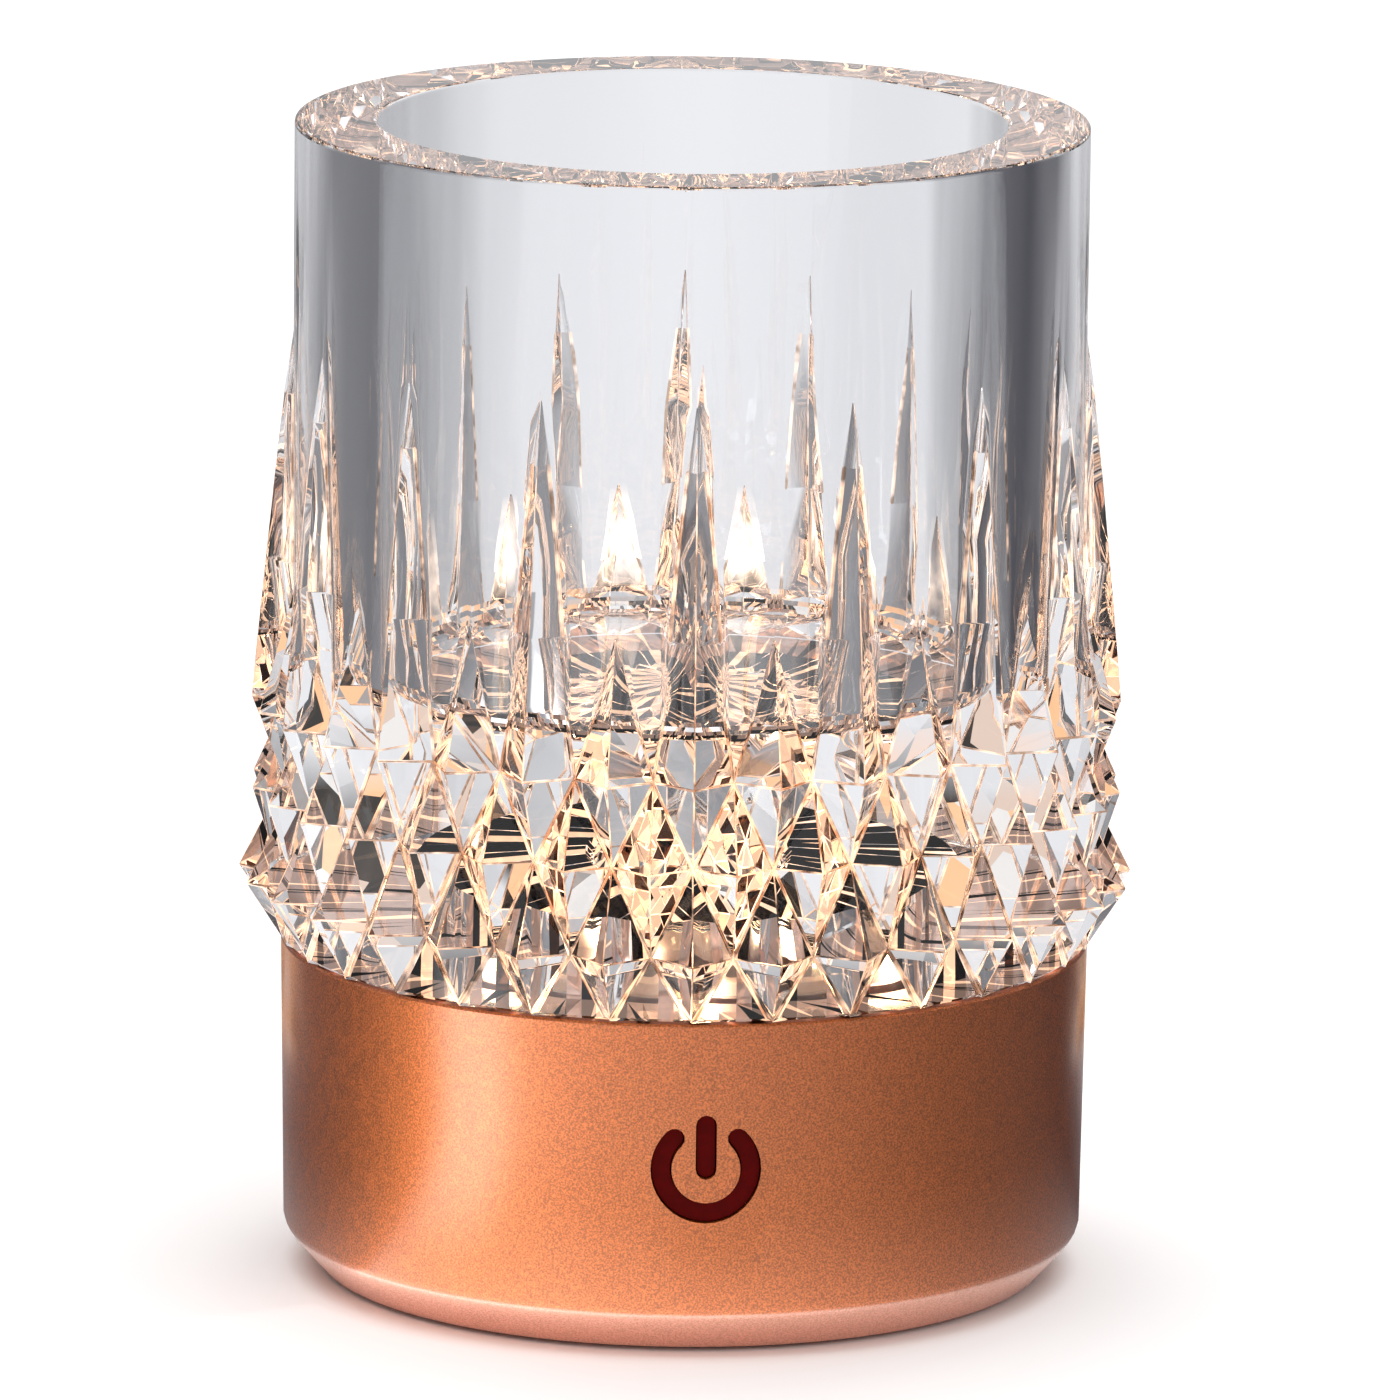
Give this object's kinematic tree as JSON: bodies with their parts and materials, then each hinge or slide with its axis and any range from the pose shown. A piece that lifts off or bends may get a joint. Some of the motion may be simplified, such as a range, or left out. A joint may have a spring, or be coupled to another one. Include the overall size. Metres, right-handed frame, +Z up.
{
  "type": "cordless crystal table lamp",
  "caption": "Thick cut-crystal tumbler with diamond and spike cutting, standing on a round copper-coloured rechargeable light base with a touch power mark.",
  "frame": {"origin": "centre of the underside of the foot ring, on the surface that the lamp stands on", "axes": "+Z up along the lamp's axis; the power mark faces -Y and the charging port faces +Y"},
  "size_m": [0.0938, 0.0938, 0.1223],
  "materials": {
    "crystal": "polished clear crystal with cut facets",
    "copper": "fine bead-blasted copper-coloured anodising",
    "frosted": "frosted translucent diffuser",
    "silicone": "soft translucent silicone",
    "white_plastic": "white moulded plastic",
    "black_plastic": "fine-textured black moulding",
    "mark_red": "dark red translucent insert",
    "rubber": "matt non-slip rubber",
    "steel": "nickel-plated steel",
    "circuit_board": "green solder resist",
    "lamp_board": "black solder resist on an aluminium core",
    "aluminium": "plain turned aluminium",
    "clear_plastic": "clear polished moulding",
    "led": "warm white light-emitting diode",
    "battery_sleeve": "shrink sleeve over the cell's can",
    "red_wire": "red insulation",
    "black_wire": "black insulation"
  },
  "bodies": {
    "base": {"base_cover": "black_plastic", "battery_cell": "battery_sleeve", "battery_lead_minus": "black_wire", "battery_lead_plus": "red_wire", "battery_plug": "white_plastic", "battery_tab_minus": "steel", "battery_tab_plus": "steel", "board_screw_1": "steel", "board_screw_2": "steel", "charge_led": "led", "charge_light_pipe": "frosted", "charger_chip": "black_plastic", "chassis": "black_plastic", "cover_screw_1": "steel", "cover_screw_2": "steel", "cover_screw_3": "steel", "cover_screw_4": "steel", "driver_chip": "black_plastic", "foot_ring": "rubber", "frame_screw_1": "steel", "frame_screw_2": "steel", "frame_screw_3": "steel", "housing_shell": "copper", "lamp_lead_minus": "black_wire", "lamp_lead_plus": "red_wire", "lamp_plug": "white_plastic", "led_1": "led", "led_2": "led", "led_3": "led", "led_4": "led", "led_5": "led", "led_6": "led", "led_7": "led", "led_8": "led", "led_board": "lamp_board", "led_pedestal": "aluminium", "light_window": "clear_plastic", "main_board": "circuit_board", "port_sleeve": "black_plastic", "power_inductor": "black_plastic", "seat_gasket": "silicone", "touch_board": "circuit_board", "touch_chip": "black_plastic", "touch_electrode": "steel", "touch_insert": "mark_red", "touch_lead": "black_wire", "usb_receptacle": "steel", "usb_tongue": "black_plastic", "window_clamp": "white_plastic"},
    "vessel": {"crystal_vessel": "crystal"}
  },
  "joints": [
    {"name": "vessel_lift", "type": "slide", "parent": "base", "child": "vessel", "axis": [0, 0, 1], "range_m": [0, 0.03]}
  ]
}
